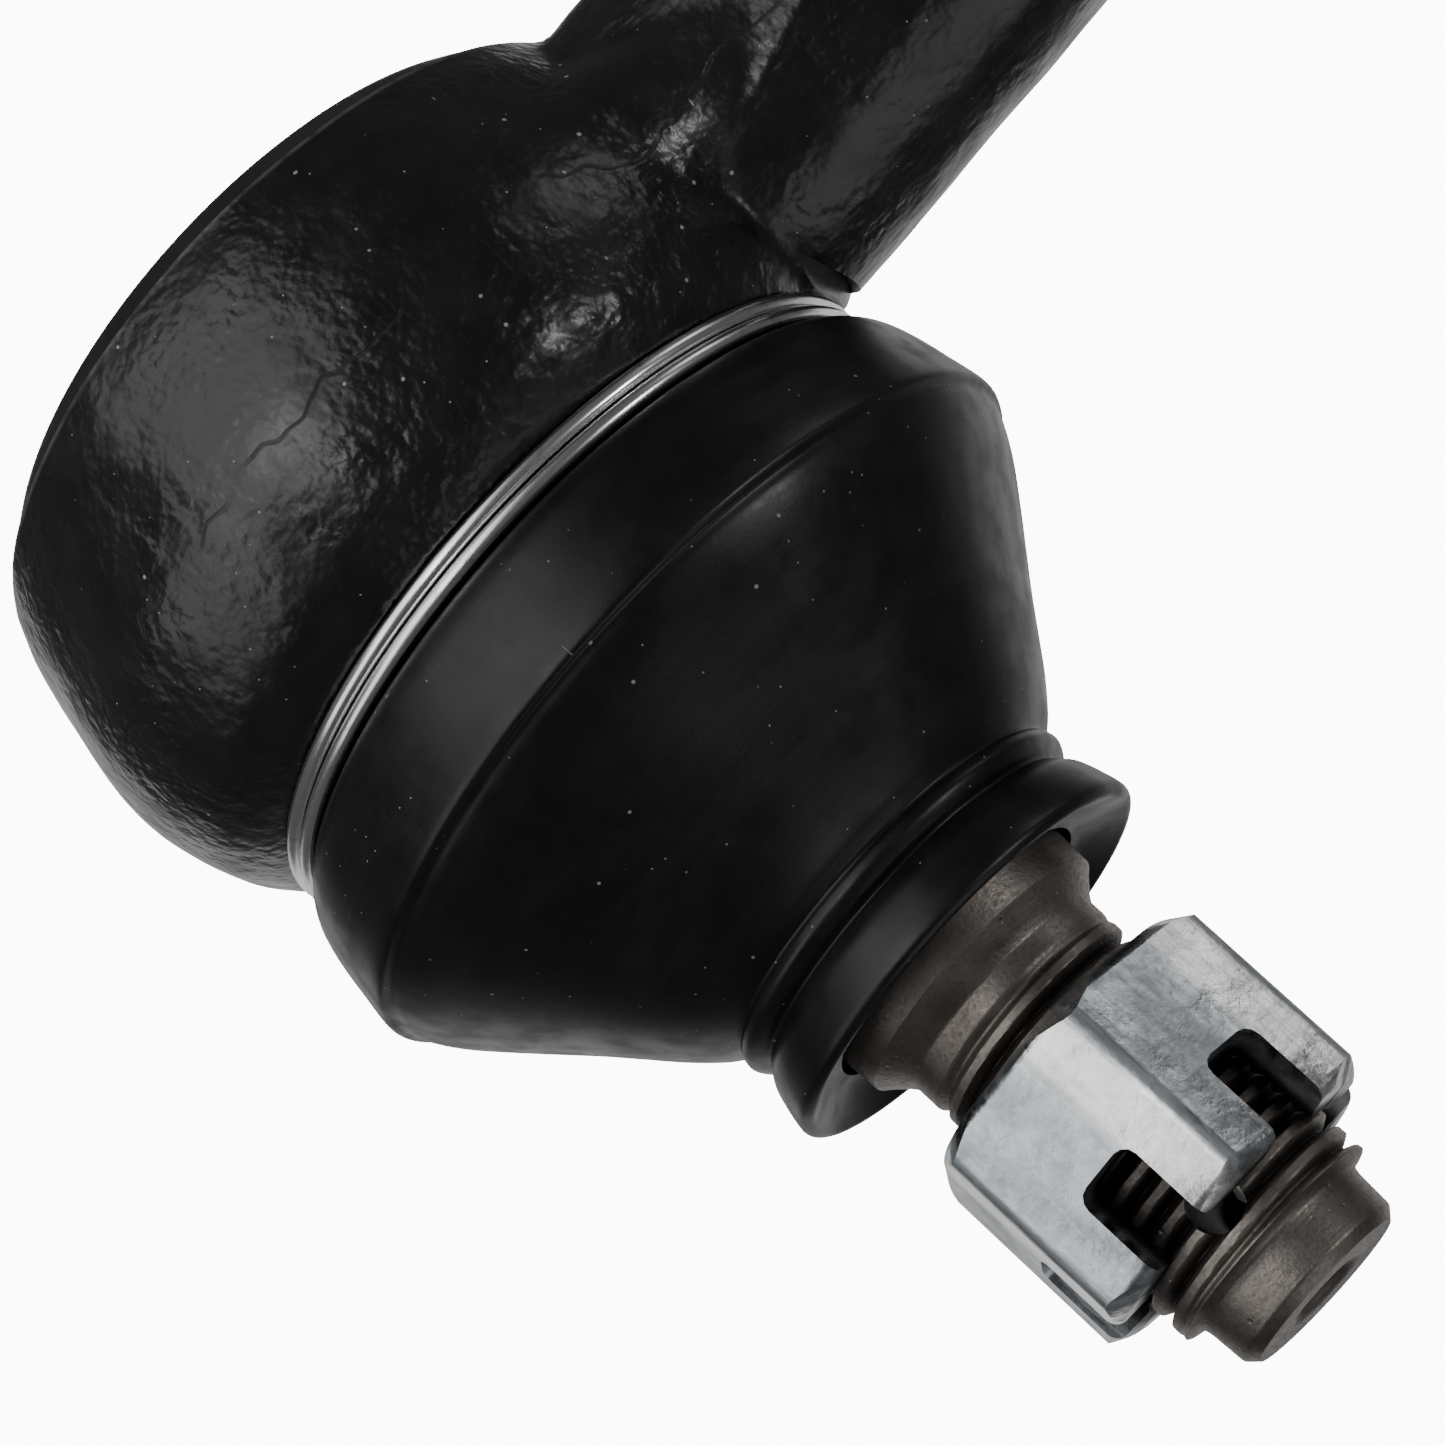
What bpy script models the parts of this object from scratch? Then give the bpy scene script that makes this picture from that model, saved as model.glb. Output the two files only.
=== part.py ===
"""Tie rod end with ball stud, dust boot and slotted hexagon nut.

Frame, in metres: the origin is the middle of the end cover's flat outer face,
+Z runs along the ball stud to its threaded end and +X runs along the shank.
Dimensions below are in millimetres and are scaled when the meshes are made.
"""
import math

import bmesh
import bpy
from mathutils import Matrix, Vector

MM = 0.001
COLLECTION = "tie_rod_end"

# Forged housing: head, shank and the turned seat that the boot is clamped to.
HEAD_SIDE = (
    (16.9, 0.5), (21.0, 0.5), (21.8, 1.2), (23.5, 3.4), (24.3, 5.7), (25.2, 9.0),
    (25.9, 12.0), (26.1, 13.9), (26.0, 15.8), (25.6, 18.0), (24.9, 20.0), (24.2, 21.4),
    (22.3, 23.4),
)
HEAD_TOP = 26.6
NECK_RADIUS = 20.2
NECK_FACE_Z = 23.4
SPOT_FACE_RADIUS = 24.1
SPOT_FACE_EDGE_Z = 22.7
LIP_RADIUS = 16.9
LIP_TOP_Z = 1.7
COVER_BORE_RADIUS = 19.0
COVER_BORE_TOP_Z = 5.9
SEAT_BORE_RADIUS = 16.5
SEAT_BORE_TOP_Z = 23.5
STUD_OPENING = ((13.2, 23.5), (14.6, 26.6))
SHANK_Z = 13.0
SHANK_RADIUS = 11.5
SHANK_START_X = 17.0
SHANK_END_X = 105.0
SHANK_THREAD_START_X = 62.0
SHANK_THREAD_RADIUS = 11.0
SHANK_THREAD_DEPTH = 0.92
SHANK_END_CHAMFER = 1.4
FLARE = ((18.0, 18.6), (20.0, 16.6), (23.0, 14.4), (26.0, 12.9), (30.0, 11.7), (33.0, 11.2))
FLARE_HEIGHT_RATIO = 0.58

# Closed end.
COVER = (
    (0.0, 2.2), (14.0, 2.2), (15.0, 3.9), (18.7, 3.9), (18.7, 1.95), (16.5, 1.95),
    (16.3, 0.6), (15.6, 0.0), (0.0, 0.0),
)
SEAL_MEAN_RADIUS = 18.0
SEAL_SECTION_RADIUS = 0.78
SEAL_Z = 4.9
SPRING_WIRE_RADIUS = 0.9
SPRING_BOTTOM = (12.6, 3.25)
SPRING_TOP = (10.4, 6.35)
SPRING_TURNS = 1.9
SPRING_PLATE = ((9.0, 8.3), (15.8, 8.3), (15.8, 7.5), (9.0, 7.5))

# Ball and its two bearing halves.
BALL_Z = 16.0
BALL_RADIUS = 11.5
BALL_FLAT_Z = 7.6
SEAT_SPHERE_RADIUS = 11.7
SEAT_OUTER_RADIUS = 16.2
UPPER_SEAT_SPAN_Z = (8.55, 15.7)
LOWER_SEAT_SPAN_Z = (16.0, 23.2)
LOWER_SEAT_LIP_Z = 21.0
LOWER_SEAT_MOUTH_RADIUS = 12.9

# Stud above the ball: neck, 1:9 taper, thread, dog point.
STUD_NECK_RADIUS = 7.4
STUD_NECK_TOP_Z = 28.0
TAPER_BIG = (9.5, 37.5)
TAPER_SMALL = (8.53, 56.2)
THREAD_RADIUS = 7.0
THREAD_DEPTH = 0.92
THREAD_PITCH = 1.5
THREAD_START_Z = 59.4
THREAD_TURNS = 12
RUNOUT = ((6.9, 58.6), (6.7, 59.1))
DOG = ((5.6, 78.25), (5.3, 78.6), (5.9, 79.1), (5.7, 81.0), (5.2, 81.6))
TIP_Z = 81.6
DIMPLE = ((2.0, 81.6), (1.3, 80.9), (0.0, 80.2))
COTTER_HOLE_RADIUS = 1.6
COTTER_HOLE_Z = 75.0
COTTER_HOLE_ANGLE = math.radians(88.3)

# Slotted hexagon nut, 19 mm across flats.
NUT_FLATS = 19.0
NUT_SPAN_Z = (62.1, 75.3)
NUT_BORE_RADIUS = 7.25
NUT_CORNER_ANGLE = math.radians(74.0)
NUT_CHAMFER_FACE_RADIUS = 9.3
NUT_CHAMFER_DROP = 0.95
NUT_SLOT_WIDTH = 4.2
NUT_SLOT_FLOOR_Z = 69.7
NUT_SLOT_CORNER = 0.9

# Dust boot, support ring and wire clamp.
BOOT_OUTER = (
    (9.1, 54.3), (9.9, 54.35), (11.9, 55.3), (12.5, 55.5), (12.95, 55.2), (12.95, 54.5),
    (12.45, 52.6), (11.9, 51.7), (11.65, 51.35), (12.1, 50.95), (12.45, 50.4), (12.4, 49.9),
    (12.25, 49.5), (12.75, 49.0), (13.6, 48.3), (15.05, 46.7), (16.6, 44.7), (18.15, 42.7),
    (19.8, 40.7), (21.45, 38.7), (22.95, 36.8), (23.9, 35.3), (24.2, 34.5), (24.6, 34.2),
    (24.7, 33.7), (24.45, 32.0), (24.1, 29.8), (23.6, 28.0), (22.9, 26.9), (22.2, 26.45),
    (21.35, 26.35), (21.35, 23.95), (21.0, 23.7),
)
BOOT_INNER = (
    (20.5, 23.7), (20.5, 26.9), (21.6, 28.2), (22.4, 30.0), (22.7, 33.2), (21.9, 35.2),
    (19.5, 38.3), (16.3, 42.2), (13.2, 46.0), (11.2, 48.6), (10.45, 49.6), (10.45, 53.5),
    (9.1, 53.5),
)
SUPPORT_RING = ((9.2, 53.2), (10.15, 53.2), (10.15, 50.2), (9.2, 50.2))
CLAMP_WIRE_RADIUS = 0.5
CLAMP_MEAN_RADIUS = 22.08
CLAMP_Z = (24.6, 25.7)
CLAMP_START_ANGLE = math.radians(-80.0)
CLAMP_CROSSOVER_ANGLE = math.radians(34.0)
CLAMP_END_GAP_ANGLE = math.radians(4.0)

SPHERE_SEGMENTS = 6
HEAD_STEPS = 48
ROUND_STEPS = 32
SHANK_STEPS = 24
WIRE_POINTS_PER_TURN = 32

PAINTED = ((0.022, 0.023, 0.025, 1.0), 0.32, 0.4)
STEEL = ((0.30, 0.29, 0.27, 1.0), 0.45, 0.9)
ZINC = ((0.72, 0.76, 0.78, 1.0), 0.33, 0.95)
RUBBER = ((0.018, 0.018, 0.019, 1.0), 0.55, 0.0)
ACETAL = ((0.72, 0.70, 0.62, 1.0), 0.5, 0.0)
SPRING_STEEL = ((0.20, 0.20, 0.21, 1.0), 0.35, 0.95)


def make_collection(name, hidden=False):
    """Return a new collection linked to the scene."""
    collection = bpy.data.collections.new(name)
    bpy.context.scene.collection.children.link(collection)
    collection.hide_render = hidden
    return collection


def make_material(name, look):
    """Return a Principled material from (colour, roughness, metallic)."""
    colour, roughness, metallic = look
    material = bpy.data.materials.new(name)
    material.use_nodes = True
    shader = material.node_tree.nodes["Principled BSDF"]
    shader.inputs["Base Color"].default_value = colour
    shader.inputs["Roughness"].default_value = roughness
    shader.inputs["Metallic"].default_value = metallic
    material.diffuse_color = colour
    return material


def link(obj, collection, material=None, smooth=True):
    """Put an object in its collection, with a material and smooth shading."""
    collection.objects.link(obj)
    if material:
        obj.data.materials.append(material)
    if smooth:
        for polygon in obj.data.polygons:
            polygon.use_smooth = True
    return obj


def turned(name, profile, steps, axis="Z", closed=True):
    """Return an object whose Screw modifier turns a profile of (radius, height) points.

    The points run down the outer side. With axis "X" the height runs along X.
    """
    mesh = bpy.data.meshes.new(name)
    if axis == "Z":
        points = [(r * MM, 0.0, h * MM) for r, h in profile]
    else:
        points = [(h * MM, 0.0, r * MM) for r, h in profile]
    edges = [(i, i + 1) for i in range(len(points) - 1)]
    if closed:
        edges.append((len(points) - 1, 0))
    mesh.from_pydata(points, edges, [])
    obj = bpy.data.objects.new(name, mesh)
    screw = obj.modifiers.new("turn", "SCREW")
    screw.axis = axis
    screw.steps = steps
    screw.render_steps = steps
    screw.use_merge_vertices = True
    screw.merge_threshold = 1e-5
    screw.use_smooth_shade = True
    return obj


def wire(name, points, radius, material, collection):
    """Return a round wire along a row of points, with filled caps."""
    curve = bpy.data.curves.new(name, "CURVE")
    curve.dimensions = "3D"
    curve.bevel_depth = radius * MM
    curve.bevel_resolution = 2
    curve.use_fill_caps = True
    spline = curve.splines.new("POLY")
    spline.points.add(len(points) - 1)
    for spot, point in zip(spline.points, points):
        spot.co = (point[0] * MM, point[1] * MM, point[2] * MM, 1.0)
    spline.use_smooth = True
    obj = bpy.data.objects.new(name, curve)
    collection.objects.link(obj)
    curve.materials.append(material)
    return obj


def add_boolean(obj, cutter, operation):
    """Add an exact Boolean modifier."""
    modifier = obj.modifiers.new(cutter.name, "BOOLEAN")
    modifier.operation = operation
    modifier.solver = "EXACT"
    modifier.object = cutter
    return modifier


def hide_cutter(obj, collection):
    """Put a cutter in its collection and show it as a wire only."""
    collection.objects.link(obj)
    obj.hide_render = True
    obj.display_type = "WIRE"
    return obj


def box_mesh(name, size, location, rotation_z=0.0, bevel=0.0):
    """Return a box object, with bevelled edges along its longest direction if asked."""
    mesh = bpy.data.meshes.new(name)
    form = bmesh.new()
    bmesh.ops.create_cube(form, size=1.0)
    bmesh.ops.scale(form, vec=Vector(size) * MM, verts=form.verts)
    if bevel:
        low_edges = [
            edge for edge in form.edges
            if all(vert.co.z < 0.0 for vert in edge.verts)
            and abs(edge.verts[0].co.x - edge.verts[1].co.x) > size[0] * MM * 0.5
        ]
        bmesh.ops.bevel(form, geom=low_edges, offset=bevel * MM, segments=2, affect="EDGES", profile=0.5)
    form.to_mesh(mesh)
    form.free()
    obj = bpy.data.objects.new(name, mesh)
    obj.location = Vector(location) * MM
    obj.rotation_euler.z = rotation_z
    return obj


def cylinder_mesh(name, radius, length, steps):
    """Return a capped cylinder along Z, centred on its origin."""
    mesh = bpy.data.meshes.new(name)
    form = bmesh.new()
    bmesh.ops.create_cone(
        form, cap_ends=True, segments=steps, radius1=radius * MM, radius2=radius * MM, depth=length * MM
    )
    form.to_mesh(mesh)
    form.free()
    return bpy.data.objects.new(name, mesh)


def sphere_profile(radius, z_from, z_to, segments):
    """Return (radius, height) points along a sphere about the ball centre."""
    angle_from = math.asin((z_from - BALL_Z) / radius)
    angle_to = math.asin((z_to - BALL_Z) / radius)
    points = []
    for i in range(segments + 1):
        angle = angle_from + (angle_to - angle_from) * i / segments
        points.append((radius * math.cos(angle), BALL_Z + radius * math.sin(angle)))
    return points


def ridges(start, pitch, count, crest, depth):
    """Return (radius, height) points of rolled thread ridges, going down in height."""
    points = []
    for i in range(count, 0, -1):
        points.append((crest - depth, start + pitch * i))
        points.append((crest, start + pitch * (i - 0.5)))
    points.append((crest - depth, start))
    return points


def build_housing(parts, cutters, material):
    """Forged head and shank, with the lathe cuts as Booleans."""
    outer = [(0.0, HEAD_TOP), (NECK_RADIUS - 0.5, HEAD_TOP), (NECK_RADIUS, HEAD_TOP - 0.5)]
    outer += [(NECK_RADIUS, NECK_FACE_Z)] + list(reversed(HEAD_SIDE))[0:-1] + [(0.0, HEAD_SIDE[0][1])]
    head = turned("housing", outer, HEAD_STEPS, closed=False)
    link(head, parts, material)

    count = int((SHANK_END_X - SHANK_END_CHAMFER - SHANK_THREAD_START_X) / THREAD_PITCH)
    root = SHANK_THREAD_RADIUS - SHANK_THREAD_DEPTH
    thread_end = SHANK_THREAD_START_X + count * THREAD_PITCH
    bar = [(0.0, SHANK_END_X), (root - 0.6, SHANK_END_X), (root, thread_end)]
    bar += ridges(SHANK_THREAD_START_X, THREAD_PITCH, count, SHANK_THREAD_RADIUS, SHANK_THREAD_DEPTH)[1:]
    bar += [(root, SHANK_THREAD_START_X - 1.6), (SHANK_RADIUS, SHANK_THREAD_START_X - 3.4)]
    bar += [(SHANK_RADIUS, SHANK_START_X), (0.0, SHANK_START_X)]
    shank = hide_cutter(turned("shank_blank", bar, SHANK_STEPS, axis="X", closed=False), cutters)
    shank.location.z = SHANK_Z * MM

    flare_line = [(0.0, FLARE[-1][0])] + [(r, x) for x, r in reversed(FLARE)] + [(0.0, FLARE[0][0])]
    flare = hide_cutter(turned("shank_flare", flare_line, SHANK_STEPS, axis="X", closed=False), cutters)
    flare.location.z = SHANK_Z * MM
    flare.scale.z = FLARE_HEIGHT_RATIO
    flare.rotation_euler.x = math.pi / SHANK_STEPS

    spot = [
        (SPOT_FACE_RADIUS, 30.0), (SPOT_FACE_RADIUS, SPOT_FACE_EDGE_Z), (22.4, NECK_FACE_Z - 0.01),
        (NECK_RADIUS, NECK_FACE_Z - 0.01), (NECK_RADIUS, 30.0),
    ]
    spot_face = hide_cutter(turned("spot_face_cut", spot, HEAD_STEPS), cutters)

    bore = [(0.0, 30.0), (STUD_OPENING[1][0] + 1.4, 30.0)] + list(reversed(STUD_OPENING))
    bore += [
        (SEAT_BORE_RADIUS, SEAT_BORE_TOP_Z), (SEAT_BORE_RADIUS, COVER_BORE_TOP_Z),
        (COVER_BORE_RADIUS, COVER_BORE_TOP_Z), (COVER_BORE_RADIUS, LIP_TOP_Z),
        (LIP_RADIUS, LIP_TOP_Z), (LIP_RADIUS, -2.0), (0.0, -2.0),
    ]
    bore_cut = hide_cutter(turned("bore_cut", bore, HEAD_STEPS, closed=False), cutters)

    add_boolean(head, shank, "UNION")
    add_boolean(head, flare, "UNION")
    add_boolean(head, spot_face, "DIFFERENCE")
    add_boolean(head, bore_cut, "DIFFERENCE")
    return head


def build_closed_end(parts, paint, rubber, spring_steel, steel):
    """Cover, its seal ring, the preload spring and the spring plate."""
    link(turned("end_cover", COVER, ROUND_STEPS, closed=False), parts, paint)
    section = []
    sides = 10
    for i in range(sides):
        angle = -2.0 * math.pi * i / sides
        radius = SEAL_MEAN_RADIUS + SEAL_SECTION_RADIUS * math.cos(angle)
        section.append((radius, SEAL_Z + SEAL_SECTION_RADIUS * math.sin(angle)))
    link(turned("cover_seal", section, ROUND_STEPS), parts, rubber)

    points = []
    total = int(SPRING_TURNS * WIRE_POINTS_PER_TURN)
    for i in range(total + 1):
        share = i / total
        angle = 2.0 * math.pi * SPRING_TURNS * share
        radius = SPRING_BOTTOM[0] + (SPRING_TOP[0] - SPRING_BOTTOM[0]) * share
        height = SPRING_BOTTOM[1] + (SPRING_TOP[1] - SPRING_BOTTOM[1]) * share
        points.append((radius * math.cos(angle), radius * math.sin(angle), height))
    wire("preload_spring", points, SPRING_WIRE_RADIUS, spring_steel, parts)
    link(turned("spring_plate", SPRING_PLATE, ROUND_STEPS), parts, steel)


def build_seats(parts, material):
    """The two plastic bearing halves around the ball."""
    low, high = UPPER_SEAT_SPAN_Z
    inner = sphere_profile(SEAT_SPHERE_RADIUS, low, high, SPHERE_SEGMENTS)
    profile = [(SEAT_OUTER_RADIUS, high), (SEAT_OUTER_RADIUS, low)] + inner
    link(turned("upper_seat", profile, ROUND_STEPS), parts, material)

    low, high = LOWER_SEAT_SPAN_Z
    inner = sphere_profile(SEAT_SPHERE_RADIUS, low, LOWER_SEAT_LIP_Z, SPHERE_SEGMENTS)
    profile = [(LOWER_SEAT_MOUTH_RADIUS, high), (SEAT_OUTER_RADIUS, high), (SEAT_OUTER_RADIUS, low)] + inner
    link(turned("lower_seat", profile, ROUND_STEPS), parts, material)


def build_stud(parts, cutters, material):
    """Ball stud with its taper, thread, dog point and cotter hole."""
    profile = list(reversed(DIMPLE)) + list(reversed(DOG))
    profile += ridges(THREAD_START_Z, THREAD_PITCH, THREAD_TURNS, THREAD_RADIUS, THREAD_DEPTH)
    profile += list(reversed(RUNOUT)) + [TAPER_SMALL, TAPER_BIG, (8.9, 35.2), (7.8, 31.5)]
    profile += [(STUD_NECK_RADIUS, STUD_NECK_TOP_Z)]
    neck_z = BALL_Z + math.sqrt(BALL_RADIUS ** 2 - STUD_NECK_RADIUS ** 2)
    ball = sphere_profile(BALL_RADIUS, neck_z, BALL_FLAT_Z, 2 * SPHERE_SEGMENTS)
    profile += ball + [(0.0, BALL_FLAT_Z)]
    stud = link(turned("ball_stud", profile, ROUND_STEPS, closed=False), parts, material)

    hole = hide_cutter(cylinder_mesh("cotter_hole_cut", COTTER_HOLE_RADIUS, 24.0, 20), cutters)
    hole.rotation_euler = (math.pi / 2.0, 0.0, COTTER_HOLE_ANGLE + math.pi / 2.0)
    hole.location.z = COTTER_HOLE_Z * MM
    add_boolean(stud, hole, "DIFFERENCE")
    return stud


def build_nut(parts, cutters, material):
    """Hexagon nut with six slots cut through the full hexagon."""
    low, high = NUT_SPAN_Z
    corner_radius = NUT_FLATS / math.sqrt(3.0)
    nut = cylinder_mesh("slotted_nut", corner_radius, high - low, 6)
    nut.data.transform(Matrix.Rotation(NUT_CORNER_ANGLE - math.pi / 2.0, 4, "Z"))
    nut.location.z = 0.5 * (low + high) * MM
    link(nut, parts, material, smooth=False)

    wide = corner_radius + 1.0
    chamfer = [
        (0.0, high), (NUT_CHAMFER_FACE_RADIUS, high), (wide, high - NUT_CHAMFER_DROP),
        (wide, low + NUT_CHAMFER_DROP), (NUT_CHAMFER_FACE_RADIUS, low), (0.0, low),
    ]
    envelope = hide_cutter(turned("nut_chamfer_envelope", chamfer, ROUND_STEPS, closed=False), cutters)
    bore = hide_cutter(cylinder_mesh("nut_bore_cut", NUT_BORE_RADIUS, 40.0, ROUND_STEPS), cutters)
    bore.location.z = 0.5 * (low + high) * MM
    add_boolean(nut, envelope, "INTERSECT")
    add_boolean(nut, bore, "DIFFERENCE")
    height = 10.0
    for i in range(3):
        angle = NUT_CORNER_ANGLE + math.radians(30.0 + 60.0 * i)
        slot = box_mesh(
            "nut_slot_cut_%d" % (i + 1), (30.0, NUT_SLOT_WIDTH, height),
            (0.0, 0.0, NUT_SLOT_FLOOR_Z + height / 2.0), angle, NUT_SLOT_CORNER,
        )
        hide_cutter(slot, cutters)
        add_boolean(nut, slot, "DIFFERENCE")
    return nut


def build_boot(parts, rubber, steel, zinc):
    """Rubber boot, the support ring in its small end and the two-turn wire clamp."""
    link(turned("dust_boot", BOOT_OUTER + BOOT_INNER, ROUND_STEPS), parts, rubber)
    link(turned("boot_support_ring", SUPPORT_RING, ROUND_STEPS), parts, steel)
    sweep = 4.0 * math.pi - CLAMP_CROSSOVER_ANGLE - CLAMP_END_GAP_ANGLE
    total = int(sweep / (2.0 * math.pi) * WIRE_POINTS_PER_TURN)
    points = []
    for i in range(total + 1):
        turn = sweep * i / total
        share = (turn - 2.0 * math.pi + CLAMP_CROSSOVER_ANGLE) / CLAMP_CROSSOVER_ANGLE
        share = min(max(share, 0.0), 1.0)
        share = share * share * (3.0 - 2.0 * share)
        height = CLAMP_Z[0] + (CLAMP_Z[1] - CLAMP_Z[0]) * share
        angle = CLAMP_START_ANGLE + turn
        points.append((
            CLAMP_MEAN_RADIUS * math.cos(angle), CLAMP_MEAN_RADIUS * math.sin(angle), height,
        ))
    wire("boot_clamp_ring", points, CLAMP_WIRE_RADIUS, zinc, parts)


def main():
    """Clear the scene and build every sub-part."""
    for obj in list(bpy.data.objects):
        bpy.data.objects.remove(obj, do_unlink=True)
    parts = make_collection(COLLECTION)
    cutters = make_collection(COLLECTION + "_cutters", hidden=True)
    paint = make_material("black_paint", PAINTED)
    steel = make_material("plain_steel", STEEL)
    zinc = make_material("zinc_plate", ZINC)
    rubber = make_material("black_rubber", RUBBER)
    acetal = make_material("natural_acetal", ACETAL)
    spring_steel = make_material("spring_steel", SPRING_STEEL)

    build_housing(parts, cutters, paint)
    build_closed_end(parts, paint, rubber, spring_steel, steel)
    build_seats(parts, acetal)
    build_stud(parts, cutters, steel)
    build_nut(parts, cutters, zinc)
    build_boot(parts, rubber, steel, zinc)


main()
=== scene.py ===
"""Tie rod end: forged housing, rubber boot, ball stud and slotted nut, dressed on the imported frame."""
import logging
import math
from dataclasses import dataclass, field
from enum import Enum
from typing import Callable, Dict, List, Optional, Sequence, Tuple

import bpy
from mathutils import Matrix, Vector, noise


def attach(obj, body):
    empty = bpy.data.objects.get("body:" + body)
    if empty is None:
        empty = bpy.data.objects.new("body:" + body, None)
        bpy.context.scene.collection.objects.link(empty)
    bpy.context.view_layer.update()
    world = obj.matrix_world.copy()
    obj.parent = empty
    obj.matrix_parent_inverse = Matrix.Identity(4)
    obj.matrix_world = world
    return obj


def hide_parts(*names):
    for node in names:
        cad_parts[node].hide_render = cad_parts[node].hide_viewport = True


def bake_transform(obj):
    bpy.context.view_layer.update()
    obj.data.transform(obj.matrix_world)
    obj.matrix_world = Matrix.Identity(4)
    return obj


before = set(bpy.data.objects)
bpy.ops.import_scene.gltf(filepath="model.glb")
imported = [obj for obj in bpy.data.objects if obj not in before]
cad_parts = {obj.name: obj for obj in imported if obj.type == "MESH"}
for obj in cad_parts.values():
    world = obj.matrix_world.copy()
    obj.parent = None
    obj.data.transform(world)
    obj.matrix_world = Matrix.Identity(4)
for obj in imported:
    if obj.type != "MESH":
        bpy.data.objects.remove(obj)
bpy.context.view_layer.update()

MM = 0.001
Point = Tuple[float, float]
Colour = Tuple[float, float, float, float]
Object = bpy.types.Object
Socket = bpy.types.NodeSocket

log = logging.getLogger("tie_rod_end")


class Axis(Enum):
    """The axis that a line is spun round."""

    STUD = "Z"
    SHANK = "X"


class Cut(Enum):
    """What a second piece does to the first."""

    AWAY = "DIFFERENCE"
    WITHIN = "INTERSECT"
    ONTO = "UNION"


# ---- lines


def rounded(points: Sequence[Point], radius: float, bends: int = 3) -> List[Point]:
    """Round the corners of a line.

    Args:
        points: Corners as (radius, height), in millimetres.
        radius: Distance from each corner at which the round starts.
        bends: Segments in each round.

    Returns:
        The line with every inner corner turned into a short arc.
    """
    line = [points[0]]
    for i in range(1, len(points) - 1):
        before, corner, after = (Vector(points[j]) for j in (i - 1, i, i + 1))
        back, ahead = before - corner, after - corner
        reach = min(radius, 0.45 * back.length, 0.45 * ahead.length)
        start, end = corner + back.normalized() * reach, corner + ahead.normalized() * reach
        for k in range(bends + 1):
            t = k / bends
            spot = start * (1 - t) ** 2 + corner * 2 * t * (1 - t) + end * t * t
            line.append((spot.x, spot.y))
    line.append(points[-1])
    return line


def flowing(points: Sequence[Point], parts: int) -> List[Point]:
    """Pass one smooth curve through a row of points.

    Args:
        points: Points as (radius, height).
        parts: Segments between each two of them.

    Returns:
        The points of the curve.
    """
    rows = [points[0], *points, points[-1]]
    line: List[Point] = []
    for i in range(1, len(rows) - 2):
        a, b, c, d = (Vector(rows[j]) for j in (i - 1, i, i + 1, i + 2))
        for k in range(parts):
            t = k / parts
            spot = 0.5 * (2 * b + (c - a) * t + (2 * a - 5 * b + 4 * c - d) * t ** 2 + (3 * b - a - 3 * c + d) * t ** 3)
            line.append((spot.x, spot.y))
    line.append(points[-1])
    return line


def evenly(points: Sequence[Point], step: float) -> List[Point]:
    """Put more points on a line, so that none are further apart than step."""
    line = [points[0]]
    for a, b in zip(points, points[1:]):
        count = max(1, math.ceil(math.dist(a, b) / step))
        line += [(a[0] + (b[0] - a[0]) * k / count, a[1] + (b[1] - a[1]) * k / count) for k in range(1, count + 1)]
    return line


def arc(radius: float, centre: float, low: float, high: float, parts: int) -> List[Point]:
    """Return points on a ball's outline from one height to another."""
    start, end = (math.asin((z - centre) / radius) for z in (low, high))
    angles = [start + (end - start) * i / parts for i in range(parts + 1)]
    return [(radius * math.cos(a), centre + radius * math.sin(a)) for a in angles]


# ---- modelling


def only(piece: Object) -> Object:
    """Deselect everything, then select one piece and make it active."""
    lone()
    piece.select_set(True)
    bpy.context.view_layer.objects.active = piece
    return piece


def lone() -> None:
    """Leave nothing selected before a primitive is added."""
    if bpy.context.object and bpy.context.object.mode != "OBJECT":
        bpy.ops.object.mode_set(mode="OBJECT")
    bpy.ops.object.select_all(action="DESELECT")


def place_applied(piece: Object) -> Object:
    """Put a piece's place, turn and scale into its mesh."""
    only(piece)
    bpy.ops.object.transform_apply(location=True, rotation=True, scale=True)
    return piece


def opened(piece: Object) -> None:
    """Start to edit a piece, with all of it selected. The next only or lone ends it."""
    only(piece)
    bpy.ops.object.mode_set(mode="EDIT")
    bpy.ops.mesh.select_all(action="SELECT")


def smoothed(piece: Object, sharp: float) -> Object:
    """Shade a piece smooth, except for edges over an angle in degrees."""
    only(piece)
    bpy.ops.object.shade_smooth_by_angle(angle=math.radians(sharp))
    return piece


def tidy_faces(piece: Object, sharp: float = 32.0) -> Object:
    """Merge doubles, point the faces outwards and shade smooth up to an angle in degrees."""
    opened(piece)
    bpy.ops.mesh.remove_doubles(threshold=2e-6)
    bpy.ops.mesh.dissolve_degenerate(threshold=1e-7)
    bpy.ops.mesh.select_all(action="SELECT")
    bpy.ops.mesh.normals_make_consistent(inside=False)
    return smoothed(piece, sharp)


def dressed(piece: Object, *materials: bpy.types.Material) -> Object:
    """Give a piece its materials."""
    piece.data.materials.clear()
    for material in materials:
        piece.data.materials.append(material)
    return piece


def modified(piece: Object, kind: str, **settings: object) -> Object:
    """Apply one modifier to a piece.

    Args:
        piece: The piece.
        kind: The modifier's type.
        **settings: Its properties.

    Returns:
        The same piece.
    """
    only(piece)
    modifier = piece.modifiers.new(kind.lower(), kind)
    for key, value in settings.items():
        setattr(modifier, key, value)
    bpy.ops.object.modifier_apply(modifier=modifier.name)
    return piece


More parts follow.
